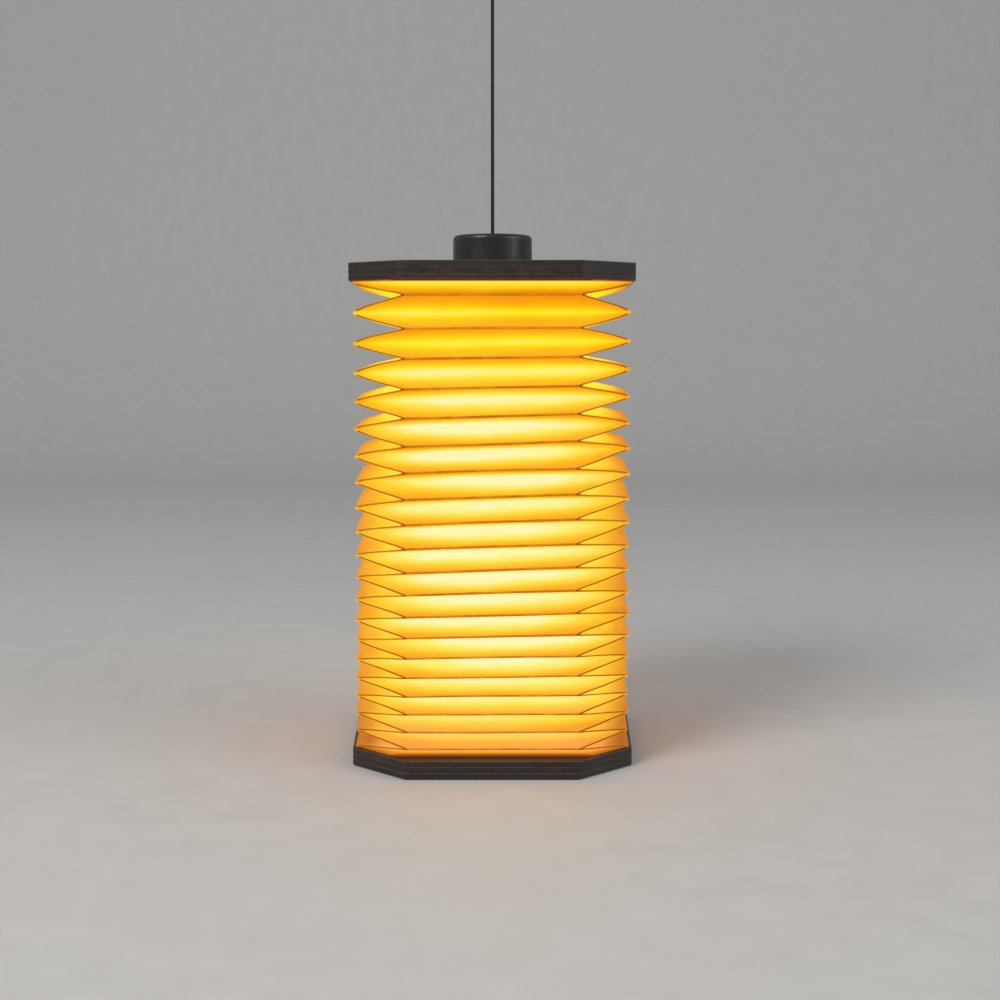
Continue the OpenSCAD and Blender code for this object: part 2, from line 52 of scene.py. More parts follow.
class Value:
    # one output socket, with the arithmetic that the trees below use
    def __init__(self, tree, socket):
        self.tree, self.socket = tree, socket

    def math(self, operation, *others, swap=False):
        args = [self, *others]
        if swap:
            args.reverse()
        return self.tree.add("ShaderNodeMath", {"operation": operation}, dict(enumerate(args)))

    def __add__(self, other): return self.math("ADD", other)
    def __radd__(self, other): return self.math("ADD", other)
    def __sub__(self, other): return self.math("SUBTRACT", other)
    def __rsub__(self, other): return self.math("SUBTRACT", other, swap=True)
    def __mul__(self, other): return self.math("MULTIPLY", other)
    def __rmul__(self, other): return self.math("MULTIPLY", other)
    def __truediv__(self, other): return self.math("DIVIDE", other)
    def __rtruediv__(self, other): return self.math("DIVIDE", other, swap=True)
    def __pow__(self, other): return self.math("POWER", other)
    def __abs__(self): return self.math("ABSOLUTE")

    def fit(self, low, high, toLow=0.0, toHigh=1.0):   # smooth step from one range to another
        return self.tree.add("ShaderNodeMapRange", {"interpolation_type": "SMOOTHSTEP"},
                             {0: self, 1: low, 2: high, 3: toLow, 4: toHigh})

    def ramp(self, *stops):                            # stops are (place, colour)
        return self.tree.add("ShaderNodeValToRGB", {"stops": stops}, {0: self})

    def mixed(self, first, second):                    # two colours, mixed by this value
        return self.tree.add("ShaderNodeMix", {"data_type": "RGBA"}, {0: self, 6: first, 7: second}, 2)

    def blend(self, first, second):                    # two numbers, blended by this value
        return first + (second - first) * self

    def part(self, axis):
        return self.tree.add("ShaderNodeSeparateXYZ", {}, {0: self}, axis)


class Tree:
    def __init__(self, nodeTree):
        self.tree = nodeTree

    def add(self, kind, settings=None, sockets=None, out=0):
        made = self.tree.nodes.new(kind)
        for name, setting in (settings or {}).items():
            if name == "stops":
                ramp = made.color_ramp
                while len(ramp.elements) < len(setting):
                    ramp.elements.new(1)
                for element, (place, colour) in zip(ramp.elements, setting):
                    element.position, element.color = place, (*colour, 1)
            else:
                setattr(made, name, setting)
        for name, given in (sockets or {}).items():
            if isinstance(given, Value):
                self.tree.links.new(given.socket, made.inputs[name])
            elif isinstance(given, tuple) and made.inputs[name].type == "RGBA":
                made.inputs[name].default_value = (*given, 1)
            else:
                made.inputs[name].default_value = given
        return Value(self, made.outputs[out])

    def place(self):                                   # object coordinates, in metres
        return self.add("ShaderNodeTexCoord", out="Object")

    def attribute(self, name):
        return self.add("ShaderNodeAttribute", {"attribute_name": name}, out="Fac")

    def noise(self, where, scale, detail=2.0, roughness=0.5, stretch=(1, 1, 1)):
        if stretch != (1, 1, 1):
            where = self.add("ShaderNodeMapping", {}, {"Vector": where, "Scale": stretch})
        return self.add("ShaderNodeTexNoise", {}, {"Vector": where, "Scale": scale, "Detail": detail,
                                                   "Roughness": roughness})


def newMaterial(name, build, **uniform):
    # build returns what varies: socket name to Value, with "height" going through a bump
    material = bpy.data.materials.new(name)
    material.use_nodes = True
    tree = Tree(material.node_tree)
    surface = material.node_tree.nodes["Principled BSDF"]
    for socket, value in uniform.items():
        socket = socket.replace("_", " ")
        surface.inputs[socket].default_value = (*value, 1) if isinstance(value, tuple) else value
    varied = build(tree)
    if "height" in varied:
        height, depth = varied.pop("height")
        varied["Normal"] = tree.add("ShaderNodeBump", {}, {"Height": height, "Strength": 1.0,
                                                           "Distance": depth})
    for socket, value in varied.items():
        material.node_tree.links.new(value.socket, surface.inputs[socket])
    return material


def paint(material, *names):
    for name in names:
        for slot in nodes[name].material_slots:
            slot.material = material


def newObject(name, mesh):
    made = bpy.data.objects.new(name, mesh)
    scene.collection.objects.link(made)
    return made


def baked(source, name):
    # the evaluated object as a plain mesh, with its modifiers gone
    bpy.context.view_layer.update()
    graph = bpy.context.evaluated_depsgraph_get()
    mesh = bpy.data.meshes.new_from_object(source.evaluated_get(graph), preserve_all_data_layers=True,
                                           depsgraph=graph)
    bpy.data.objects.remove(source)
    mesh.name = name
    return newObject(name, mesh)


# the camera, a little lower than the top cover, tipped down
camera = {"place": (4.1 * mm, -861 * mm, 228 * mm), "tiltDown": 5.95, "lens": 55.62, "sensor": 36,
          "nearest": 10 * mm}

eye = bpy.data.objects.new("camera", bpy.data.cameras.new("camera"))
scene.collection.objects.link(eye)
eye.data.lens = camera["lens"]
eye.data.sensor_width = camera["sensor"]
eye.data.clip_start = camera["nearest"]
eye.location = camera["place"]
eye.rotation_euler = (math.radians(90 - camera["tiltDown"]), 0, 0)
scene.camera = eye
scene.view_settings.view_transform = "Standard"
print("camera set")


# helpers for geometry trees

def geometryTree(name, **inputs):
    # inputs are name=socket type; gives the group, its tree and the inputs as values
    group = bpy.data.node_groups.new(name, "GeometryNodeTree")
    group.interface.new_socket("Geometry", in_out="OUTPUT", socket_type="NodeSocketGeometry")
    for key, kind in inputs.items():
        group.interface.new_socket(key, in_out="INPUT", socket_type="NodeSocket" + kind)
    tree = Tree(group)
    source = group.nodes.new("NodeGroupInput")
    return group, tree, {key: Value(tree, source.outputs[key]) for key in inputs}


def closeTree(group, tree, geometry, material):
    real = tree.add("GeometryNodeRealizeInstances", {}, {0: geometry})
    dressed = tree.add("GeometryNodeSetMaterial", {}, {"Geometry": real, "Material": material})
    group.links.new(dressed.socket, group.nodes.new("NodeGroupOutput").inputs[0])


def grown(name, group, settings, made=None):
    made = made or newObject(name, bpy.data.meshes.new(name))
    modifier = made.modifiers.new("grow", "NODES")
    modifier.node_group = group
    for item in group.interface.items_tree:
        if item.in_out == "INPUT" and item.name in settings:
            modifier[item.identifier] = settings[item.name]
    return made


# the braided cord, from the knot in the puck up to the ferrule, and the loop above it
hangingCord = {
    "exit": (0, 0, 280.1 * mm),
    "rises": [0, 10, 20, 40, 60, 80, 100, 120, 135, 144],   # mm above the exit
    "length": 144 * mm, "radius": 1.0 * mm, "step": 0.24 * mm, "columns": 32,
}
braid = {
    "strands": 4, "lay": 9 * mm,      # strands each way, and the length of one turn
    "relief": 0.11 * mm,              # how far the strands stand out
    "weave": 0.45,                    # how deep a strand dives under the next one
}
loop = {
    "foot": 432.1 * mm, "leg": 1.1 * mm, "radius": 7.5 * mm, "rise": 12 * mm,
    "turns": 14, "open": 40,          # points round the loop, and degrees left open at its foot
    "flare": [(0, 0), (0, 1 * mm), (0.3 * mm, 2.5 * mm)],
}
knot = {
    "top": hangingCord["exit"][2], "height": 3.6 * mm, "radius": 2.4 * mm, "fullness": 0.42,
    "wraps": 1.9, "groove": 0.16, "columns": 48, "rows": 22,
}


def growBraid():
    # a round tube along the curve, with the strands' over and under as relief
    group, tree, got = geometryTree(
        "braidedCordTree", line="Geometry", radius="Float", columns="Int", step="Float",
        strands="Float", lay="Float", relief="Float", weave="Float", material="Material")
    line = tree.add("GeometryNodeCurveSplineType", {"spline_type": "CATMULL_ROM"}, {0: got["line"]})
    line = tree.add("GeometryNodeResampleCurve", {"mode": "LENGTH"}, {0: line, "Length": got["step"]})
    length = tree.add("GeometryNodeSplineParameter", out="Length")
    line = tree.add("GeometryNodeStoreNamedAttribute", {"data_type": "FLOAT"},
                    {0: line, "Name": "runLength", "Value": length})
    ring = tree.add("GeometryNodeCurvePrimitiveCircle", {"mode": "RADIUS"},
                    {"Resolution": got["columns"], "Radius": got["radius"]})
    ring = tree.add("GeometryNodeStoreNamedAttribute", {"data_type": "FLOAT"},
                    {0: ring, "Name": "aroundShare", "Value": tree.add("GeometryNodeSplineParameter")})
    tube = tree.add("GeometryNodeCurveToMesh", {}, {"Curve": line, "Profile Curve": ring,
                                                    "Fill Caps": True})
    around, run = [tree.add("GeometryNodeInputNamedAttribute", {"data_type": "FLOAT"}, {"Name": name})
                   for name in ("aroundShare", "runLength")]
    left = got["strands"] * (around + run / got["lay"])
    right = got["strands"] * (around - run / got["lay"])
    leftRow, rightRow = left.math("FLOOR"), right.math("FLOOR")
    leftOver = (math.pi * (right - 0.5 + leftRow)).math("COSINE")
    rightOver = (math.pi * (left + 0.5 + rightRow)).math("COSINE")
    leftRise = (math.pi * (left - leftRow - 0.5)).math("COSINE")
    leftRise = leftRise * (1.0 - got["weave"] * (1.0 - leftOver))
    rightRise = (math.pi * (right - rightRow - 0.5)).math("COSINE")
    rightRise = rightRise * (1.0 - got["weave"] * (1.0 - rightOver))
    relief = leftRise.math("MAXIMUM", rightRise)
    normal = tree.add("GeometryNodeInputNormal")
    inwards = tree.add("ShaderNodeVectorMath", {"operation": "SCALE"},
                       {0: normal, "Scale": (relief - 1.0) * got["relief"]})
    tube = tree.add("GeometryNodeSetPosition", {}, {0: tube, "Offset": inwards})
    tube = tree.add("GeometryNodeStoreNamedAttribute", {"data_type": "FLOAT"},
                    {0: tube, "Name": "strandRise", "Value": relief})
    tube = tree.add("GeometryNodeSetShadeSmooth", {}, {0: tube})
    closeTree(group, tree, tube, got["material"])
    return group


def braidLook(tree):
    rise = tree.attribute("strandRise")
    place = tree.place()
    fuzz = tree.noise(place, 9000.0, 2.0, 0.7, (1, 1, 0.35))
    patch = tree.noise(place, 160.0, 2.0)
    # painted shade: darker in the low places between the strands, with fuzz and patches on top
    shade = rise.fit(0.25, 1.0, 0.10, 0.72) + (fuzz - 0.5) * 0.5 + (patch - 0.5) * 0.25
    return {"Base Color": shade.ramp((0.0, (0.004, 0.0035, 0.003)), (0.5, (0.018, 0.016, 0.0145)),
                                     (1.0, (0.060, 0.053, 0.047))),
            "Roughness": 0.92 - rise * 0.18, "height": (fuzz + rise * 0.5, 0.00006)}


def lineCurve(name, points):
    curve = bpy.data.curves.new(name, "CURVE")
    curve.dimensions = "3D"
    spline = curve.splines.new("POLY")
    spline.points.add(len(points) - 1)
    for point, place in zip(spline.points, points):
        point.co = (*place, 1)
    return newObject(name, curve)


cordBraid = newMaterial("blackBraid", braidLook, Specular_IOR_Level=0.3, Sheen_Weight=0.25)
braidTree = growBraid()


def braided(name, points):
    settings = {**braid, **{key: hangingCord[key] for key in ("radius", "columns", "step")},
                "material": cordBraid}
    piece = baked(grown(name, braidTree, settings, lineCurve(name + "Line", points)), name)
    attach(piece, "cord")
    return piece


def loopPoints():
    foot, middle, radius = loop["foot"], loop["foot"] + loop["rise"], loop["radius"]
    legs = [(-loop["leg"] - x, 0, foot + z) for x, z in loop["flare"]]
    sweep = (360 - 2 * loop["open"]) / loop["turns"]
    turn = [math.radians(270 - loop["open"] - i * sweep) for i in range(loop["turns"] + 1)]
    return (legs + [(radius * math.cos(a), 0, middle + radius * math.sin(a)) for a in turn]
            + [(-x, y, z) for x, y, z in reversed(legs)])


def makeKnot():
    # the stopper knot: the cord's end wound round itself, pulled tight
    columns, rows = knot["columns"], knot["rows"]
    mesh = bmesh.new()
    low = knot["top"] - knot["height"]
    rings = []
    for row in range(1, rows):
        share = row / rows
        belly = math.sin(math.pi * share) ** knot["fullness"]
        ring = []
        for column in range(columns):
            angle = math.tau * column / columns
            wrap = abs(math.sin(math.pi * (share * knot["wraps"] + column / columns)))
            radius = knot["radius"] * belly * (1 - knot["groove"] * (1 - wrap) ** 2)
            ring.append(mesh.verts.new((radius * math.cos(angle), radius * math.sin(angle),
                                        low + share * knot["height"])))
        rings.append(ring)
    foot, top = mesh.verts.new((0, 0, low)), mesh.verts.new((0, 0, knot["top"]))
    for i in range(columns):
        j = (i + 1) % columns
        mesh.faces.new((rings[0][j], rings[0][i], foot))
        mesh.faces.new((rings[-1][i], rings[-1][j], top))
        for lower, upper in zip(rings, rings[1:]):
            mesh.faces.new((lower[i], lower[j], upper[j], upper[i]))
    # a strand pattern, which the material paints as shade in its low places
    rise = mesh.verts.layers.float.new("strandRise")
    for vertex in mesh.verts:
        angle = math.atan2(vertex.co.y, vertex.co.x)
        vertex[rise] = 0.5 + 0.5 * math.sin(angle * 9 + vertex.co.z * 7000)
    for face in mesh.faces:
        face.smooth = True
    made = bpy.data.meshes.new("cordKnot")
    mesh.to_mesh(made)
    made.materials.append(cordBraid)
    return newObject("cordKnot", made)


cordPoints = [(0, 0, hangingCord["exit"][2] + rise * mm) for rise in hangingCord["rises"]]
cordPiece = braided("hangingCord", cordPoints)
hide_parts("hanging_cord")
loopPiece = braided("cordLoop", loopPoints())
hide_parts("cord_loop")
knotPiece = makeKnot()
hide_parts("cord_knot")
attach(knotPiece, "cord")
print("cord:", len(cordPiece.data.polygons), "faces, loop", len(loopPiece.data.polygons))


# the pleated paper, one tree from the base to the top cover
pleatedPaper = {
    "pleats": 20, "rowsInHalf": 10, "columnsInSide": 22,
    "halfWidth": 74.5 * mm, "halfDepth": 72 * mm, "splay": 0.044,
    "sideFold": 25.6 * mm, "frontFold": 22 * mm,
    "lowPower": 1.0, "topPower": 1.38,  # how hollow the folds' slopes are, at the base and at the top
    "powerSkew": 0.06,                  # a pleat's upper slope against its lower one
    "nose": 0.10, "tip": 0.06,          # how blunt the folds' inner and outer ends are
    "bottom": 10.4 * mm, "top": 257.3 * mm, "pitchRatio": 1.75,
    "sag": 0.85 * mm,           # how far the free front folds hang down
    "tuck": 1.1 * mm,           # how much shorter the glued fold under the top cover is
    "draw": 0.11,               # how unevenly the right side is drawn in along its height
    "lean": 0.034,              # how much the middle pleats drop towards the left
    "wander": 1.5 * mm,         # unevenness of the folds
    "dimples": 0.16 * mm,       # unevenness of the paper itself
    "swell": 0.016,             # how much wider or narrower a fold may run
}
gathered = {"rows": 0.6, "columns": 0.7}   # how far the grid closes up at creases and corners
paperSheet = {
    "thickness": 0.45 * mm, "sharpAngle": 62, "glow": 1.0,
    "sideLength": 150 * mm, "facetLength": 28.6 * mm,      # one side and one facet, laid flat
}
paperGlow = {
    # colours by height: close to the light, where the front folds run out, and where the sides do
    "near": ((0.0, (0.70, 0.36, 0.02)), (0.05, (0.77, 0.56, 0.03)), (0.10, (0.80, 0.65, 0.03)),
             (0.20, (0.80, 0.70, 0.03)), (0.75, (0.80, 0.68, 0.01)), (1.0, (0.80, 0.68, 0.0))),
    "far": ((0.0, (0.42, 0.10, 0.010)), (0.12, (0.64, 0.19, 0.004)), (0.8, (0.68, 0.22, 0.0)),
            (1.0, (0.66, 0.17, 0.0))),
    "side": ((0.0, (0.24, 0.05, 0.012)), (0.06, (0.42, 0.11, 0.014)), (0.15, (0.52, 0.15, 0.012))),
    "pale": (0.84, 0.73, 0.44), "redderGlow": (0.80, 0.26, 0.11),
    # ridge and crease are the colours of the painted shade lines; ridge also colours the specks
    "ridge": (0.27, 0.070, 0.0), "crease": (0.16, 0.038, 0.001), "reach": pleatedPaper["halfWidth"],
}


def blunted(share, amount):
    # still 0 to 1, with a rounded start in place of a sharp one
    return ((share ** 2.0 + amount ** 2.0) ** 0.5 - amount) / ((1.0 + amount ** 2.0) ** 0.5 - amount)


def growPleats():
    group, tree, got = geometryTree(
        "pleatedPaperTree", pleats="Int", rowsInHalf="Int", columnsInSide="Int", halfWidth="Float",
        halfDepth="Float", splay="Float", sideFold="Float", frontFold="Float", lowPower="Float",
        topPower="Float", powerSkew="Float", nose="Float", tip="Float", bottom="Float", top="Float",
        pitchRatio="Float", sag="Float", tuck="Float", draw="Float", lean="Float", wander="Float",
        dimples="Float", swell="Float", material="Material")
    rows = got["pleats"] * 2 * got["rowsInHalf"]
    grid = tree.add("GeometryNodeMeshGrid", {}, {"Vertices X": got["columnsInSide"] * 4 + 1,
                                                 "Vertices Y": rows + 1})
    index = tree.add("GeometryNodeInputIndex")
    column = ((index + 0.5) / (rows + 1)).math("FLOOR")
    row = index - column * (rows + 1)

    # along the height: half pleats, with rows drawn in towards the creases
    half = ((row + 0.5) / got["rowsInHalf"]).math("FLOOR")
    share = (row - half * got["rowsInHalf"]) / got["rowsInHalf"]
    share = share - gathered["rows"] * (share * math.tau).math("SINE") / math.tau
    level = half + share
    fromSide = abs(half.math("MODULO", 2.0) - share)       # 0 on a side crease, 1 on a front crease
    power = got["lowPower"] + (got["topPower"] - got["lowPower"]) * level / (got["pleats"] * 2.0)
    bend = fromSide ** (power + got["powerSkew"] * (1.0 - 2.0 * half.math("MODULO", 2.0)))
    fold = 1.0 - blunted(1.0 - blunted(bend, got["tip"]), got["nose"])

    # round the sides: four straight runs, with columns drawn in towards the corners
    side = ((column + 0.5) / got["columnsInSide"]).math("FLOOR")
    run = (column - side * got["columnsInSide"]) / got["columnsInSide"]
    around = side + run - gathered["columns"] * (run * math.tau).math("SINE") / math.tau
    acrossX = (2.0 - 2.0 * abs(around - 1.5)).math("MINIMUM", 1.0).math("MAXIMUM", -1.0)
    acrossY = (2.0 - 2.0 * abs(around - 2.5)).math("MINIMUM", 1.0).math("MAXIMUM", -1.0)

    height = got["top"] - got["bottom"]
    grade = (got["pitchRatio"] - 1.0) / (got["pitchRatio"] + 1.0)
    full = level / 2.0
    rise = full - grade * full * (got["pleats"] - full) / (got["pleats"] - 1.0)
    up = rise / got["pleats"]                              # 0 at the base, 1 at the top cover
    free = (up * math.pi).math("SINE").math("MAXIMUM", 0.0)
    drawn = 1.0 + acrossX.math("MAXIMUM", 0.0) * got["draw"] * (free - 0.5)
    halfX = got["halfWidth"] - fold * got["sideFold"] * drawn
    halfY = got["halfDepth"] - (1.0 - fold) * got["frontFold"]
    y = acrossY * halfY
    x = acrossX * (halfX + got["splay"] * y)

    # hand-made unevenness, none at the ends where the paper is glued
    held = (free * 5.0).math("MINIMUM", 1.0)
    fine = tree.add("ShaderNodeCombineXYZ", {}, {0: x * 30.0, 1: y * 30.0, 2: level * 2.3})
    broad = tree.add("ShaderNodeCombineXYZ", {}, {0: x * 11.0, 1: y * 11.0, 2: level * 0.9})
    dimple = tree.noise(fine, 1.0, 1.0) - 0.5
    wander = tree.noise(broad, 1.0, 1.0) - 0.5
    last = (1.0 - abs(level + 1.0 - 2.0 * got["pleats"])).math("MAXIMUM", 0.0)   # the fold at the top
    z = (got["bottom"] + up * height - got["sag"] * fold * free + got["lean"] * x * free ** 1.5
         + got["tuck"] * last
         + held * (got["wander"] * wander + got["dimples"] * dimple * 2.0))
    wider = 1.0 + held * (tree.noise(broad, 1.7, 0.0) - 0.5) * got["swell"]
    spot = tree.add("ShaderNodeCombineXYZ", {}, {0: x * wider, 1: y * wider, 2: z})
    paper = tree.add("GeometryNodeSetPosition", {}, {"Geometry": grid, "Position": spot})

    # what the material reads
    smaller = abs(acrossX).math("MINIMUM", abs(acrossY))
    length = halfX + side.math("MODULO", 2.0) * (halfY - halfX)
    inFold = (1.0 - fold) * got["sideFold"]
    inRise = (1.0 - fromSide) * height / (got["pleats"] * 2)
    marks = {"foldShare": fold, "heightShare": up, "aroundSides": around,
             "levelNumber": level, "cornerGap": (1.0 - smaller) * length * 0.7,
             "ridgeGap": (inFold * inFold + inRise * inRise) ** 0.5}
    for name, value in marks.items():
        paper = tree.add("GeometryNodeStoreNamedAttribute", {"data_type": "FLOAT"},
                         {"Geometry": paper, "Name": name, "Value": value})
    aroundRead, levelRead = [tree.add("GeometryNodeInputNamedAttribute", {"data_type": "FLOAT"},
                                      {"Name": name}) for name in ("aroundSides", "levelNumber")]
    onSides = aroundRead.math("FLOOR").math("MODULO", 2.0)
    paper = tree.add("GeometryNodeStoreNamedAttribute", {"data_type": "FLOAT", "domain": "FACE"},
                     {"Geometry": paper, "Name": "sideMask", "Value": onSides})
    unrolled = tree.add("ShaderNodeCombineXYZ", {}, {0: aroundRead * paperSheet["sideLength"],
                                                     1: levelRead * paperSheet["facetLength"]})
    paper = tree.add("GeometryNodeStoreNamedAttribute", {"data_type": "FLOAT2", "domain": "CORNER"},
                     {"Geometry": paper, "Name": "paperMap", "Value": unrolled})
    paper = tree.add("GeometryNodeMergeByDistance", {}, {"Geometry": paper, "Distance": 0.00001})
    paper = tree.add("GeometryNodeSetShadeSmooth", {}, {"Geometry": paper})
    closeTree(group, tree, paper, got["material"])
    return group


def litPaperLook(tree):
    fold = tree.attribute("foldShare")
    up = tree.attribute("heightShare")
    sides = tree.attribute("sideMask")
    where = tree.add("ShaderNodeUVMap", {"uv_map": "paperMap"})

    clouds = tree.noise(where, 16.0, 2.0, 0.5, (0.55, 1, 1)) - 0.5
    blotch = tree.noise(where, 60.0, 3.0, 0.6) - 0.5
    streaks = tree.noise(where, 30.0, 3.0, 0.6, (0.8, 4, 1)) - 0.5
    fibres = tree.noise(where, 900.0, 4.0, 0.6, (1, 3.2, 1)) - 0.5
    specks = tree.noise(where, 1500.0, 1.0).fit(0.73, 0.80) * blotch.fit(0.02, 0.2)

    # dimness: 0 close to the light, 1 where the folds run out, more suddenly under the top cover
    place = tree.place()
    reach = (place.part(0) ** 2.0 + place.part(1) ** 2.0 * 0.25) ** 0.5
    narrowed = up.fit(0.0, 0.14, 0.94, 1.0) * up.fit(0.80, 0.92, 1.0, 1.05)
    low = up.fit(0.0, 0.10, 1.0, 0.0)
    steep = 2.5 + 5.5 * up.fit(0.58, 0.84) + 1.5 * up.fit(0.0, 0.24, 1.0, 0.0)
    outX = (reach / (paperGlow["reach"] * sides.blend(narrowed, 1.0))) ** steep * (0.80 - low * 0.12)
    outX = outX + up.fit(0.58, 0.67, -0.13, -0.03)
    outY = (abs(place.part(1)) / paperGlow["reach"]) ** 9.0 * 0.4
    inFront = fold.math("MAXIMUM", 0.0) ** (2.4 - up - up.fit(0.45, 1.0) - low * 0.6)
    inFront = inFront * up.fit(0.965, 0.985, 0.95, 0.78)
    inSides = outY + (1.0 - fold) ** 2.0 * (0.3 + low * 0.4) + up.fit(0.0, 0.03, 0.15, 0.0)
    dim = (sides.blend(inFront, inSides) + outX - clouds * 0.55 - blotch * 0.16
           - streaks * 0.22 + fibres * 0.06)
    # painted highlight: a thin bright line in the glow along the crease next to the light
    spine = fold.fit(0.0, 0.04, 0.10, 0.0) * up.fit(0.5, 0.9)      # the crease next to the light
    far = sides.mixed(up.ramp(*paperGlow["far"]), up.ramp(*paperGlow["side"]))
    colour = (dim - spine).fit(-0.05, 1.05).mixed(up.ramp(*paperGlow["near"]), far)
    palest = 0.12 + 0.88 * up.fit(0.0, 0.24) * up.fit(0.70, 0.86, 1.0, 0.0)
    palest = palest * (1.0 - sides * 0.65) * (1.0 + clouds * 2.0)
    colour = (palest * (1.0 - dim).math("MAXIMUM", 0.0) ** 4.5).mixed(colour, paperGlow["pale"])
    # painted light: a redder glow on the outer folds of the lowest pleats
    redderGlow = up.fit(0.0, 0.16, 1.0, 0.0) * fold.fit(0.1, 0.9)
    colour = (redderGlow * (0.40 + clouds * 1.6).math("MAXIMUM", 0.0)).mixed(colour, paperGlow["redderGlow"])

    # painted shade: dark lines along the creases furthest from the light, uneven in strength along
    # their length, and down the corners
    ridge = tree.attribute("ridgeGap") - blotch * 0.0012
    ridge = (ridge / (0.75 + up * 0.5)).fit(0.0003, 0.0013, 1.0, 0.0) * (0.88 + clouds * 0.5)
    edgeTone = tree.noise(where, 38.0, 3.0, 0.65, (1, 0.3, 1)).fit(0.36, 0.60, 0.0, 1.0)
    ridge = ridge * (0.62 + edgeTone * 0.38) * up.fit(0.84, 0.93, 1.0, 0.68)
    gap = tree.attribute("cornerGap")
    crease = gap.fit(0.0001, 0.0003) * gap.fit(0.0009, 0.0013, 1.0, 0.0) * fold.fit(0.01, 0.06)
    colour = ridge.mixed(colour, paperGlow["ridge"])
    colour = crease.mixed(colour, paperGlow["crease"])
    colour = specks.mixed(colour, paperGlow["ridge"])
    skin = (fibres + 0.5).ramp((0.2, (0.33, 0.20, 0.012)), (0.8, (0.40, 0.25, 0.018)))
    # painted shade: the skin is darker along the same creases and corners
    skin = ridge.mixed(skin, (0.20, 0.09, 0.006))
    skin = crease.mixed(skin, (0.17, 0.055, 0.006))
    return {"Base Color": skin, "Emission Color": colour,
            "Roughness": 0.86 - fibres * 0.2, "height": (fibres + blotch * 0.4, 0.00018)}


litPaper = newMaterial("litPleatedPaper", litPaperLook, Emission_Strength=paperSheet["glow"],
                       Specular_IOR_Level=0.2)
pleats = grown("paperPleats", growPleats(), {**pleatedPaper, "material": litPaper})
skinned = pleats.modifiers.new("thickness", "SOLIDIFY")
skinned.thickness = paperSheet["thickness"]
skinned.offset = 0
pleats = baked(pleats, "paperPleats")
pleats.data.set_sharp_from_angle(angle=math.radians(paperSheet["sharpAngle"]))
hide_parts("paper_bellows")
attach(pleats, "base")
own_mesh(pleats)
print("paper:", len(pleats.data.polygons), "faces")


# the six boards of the covers, stained dark, each with its grain across the next one's
stain = {
    "dark": (0.0065, 0.0040, 0.0027), "middle": (0.0165, 0.0098, 0.0064),
    # edgeTone is the lighter colour painted on the bevels, a highlight and wear
    "light": (0.040, 0.0245, 0.0155), "edgeTone": (0.115, 0.070, 0.043), "poreDepth": 0.06 * mm,
}


def stainedLook(along, offset):
    stretch = (1, 15, 15) if along == "x" else (15, 1, 15)

    def look(tree):
        where = tree.add("ShaderNodeVectorMath", {"operation": "ADD"}, {0: tree.place(), 1: offset})
        figure = tree.noise(where, 9.0, 4.0, 0.55, stretch)
        pores = tree.noise(where, 130.0, 3.0, 0.7, stretch)
        ribbon = tree.noise(where, 2.4, 2.0, 0.5, stretch)
        scuff = tree.noise(tree.place(), 210.0, 4.0, 0.7)
        tone = 0.5 + (figure - 0.5) * 1.5 + (ribbon - 0.5) * 0.9 - pores.fit(0.56, 0.72, 0.0, 0.42)
        colour = tone.ramp((0.0, stain["dark"]), (0.5, stain["middle"]), (1.0, stain["light"]))
        tilt = abs(tree.add("ShaderNodeTexCoord", out="Normal").part(2))
        # painted highlight and wear: the bevelled edges are painted lighter and a little rougher
        bevel = tilt.fit(0.25, 0.62) * tilt.fit(0.80, 0.97, 1.0, 0.0)   # only the bevelled edges
        litAndRubbed = bevel * (0.55 + (scuff - 0.5) * 2.2).math("MAXIMUM", 0.12)
        rough = 0.44 + (scuff - 0.5) * 0.22 + pores.fit(0.5, 0.75, 0.0, 0.22) + litAndRubbed * 0.12
        return {"Base Color": litAndRubbed.mixed(colour, stain["edgeTone"]), "Roughness": rough,
                "height": (figure * 0.3 - pores.fit(0.55, 0.74), stain["poreDepth"])}
    return look


boards = {
    "base_outer_board": ("x", (0.11, 0.0, 0.0)), "base_core_board": ("y", (0.0, 0.3, 0.2)),
    "base_inner_board": ("x", (0.9, 0.1, 0.4)), "top_inner_board": ("x", (0.5, 0.7, 0.1)),
    "top_core_board": ("y", (0.2, 0.6, 0.8)), "top_outer_board": ("x", (0.7, 0.25, 0.6)),
}
for board, (along, offset) in boards.items():
    paint(newMaterial("stained_" + board, stainedLook(along, offset), Coat_Weight=0.06), board)
print("boards stained")


# the sheets glued to the covers, lit by the lamp and dim at their edges
endSheets = {"base_end_sheet": 0.75, "top_end_sheet": 1.0}      # how bright each is
sheetGlow = {
    # how far out the light reaches, and the colours on the way there
    "across": 81 * mm, "along": 72 * mm, "corner": 93 * mm,
    "stops": ((0.5, (1.0, 0.78, 0.40)), (0.8, (0.95, 0.48, 0.06)), (0.86, (0.85, 0.32, 0.03)),
              (0.895, (0.60, 0.16, 0.012)), (0.93, (0.30, 0.07, 0.004)), (0.97, (0.03, 0.006, 0.0))),
}


def endSheetLook(tree):
    place = tree.place()
    fibres = tree.noise(place, 700.0, 4.0, 0.6) - 0.5
    across, along = abs(place.part(0)), abs(place.part(1))
    edge = (across / sheetGlow["across"]).math("MAXIMUM", along / sheetGlow["along"])
    edge = edge.math("MAXIMUM", (across * 0.68 + along * 0.73) / sheetGlow["corner"]) + fibres * 0.02
    skin = (fibres + 0.5).ramp((0.2, (0.34, 0.20, 0.03)), (0.8, (0.42, 0.26, 0.05)))
    # painted shade: the skin is darker towards the edges too
    return {"Base Color": edge.fit(0.80, 0.97).mixed(skin, (0.08, 0.04, 0.012)),
            "Emission Color": edge.ramp(*sheetGlow["stops"]), "Roughness": 0.88 - fibres * 0.2,
            "height": (fibres, 0.00012)}


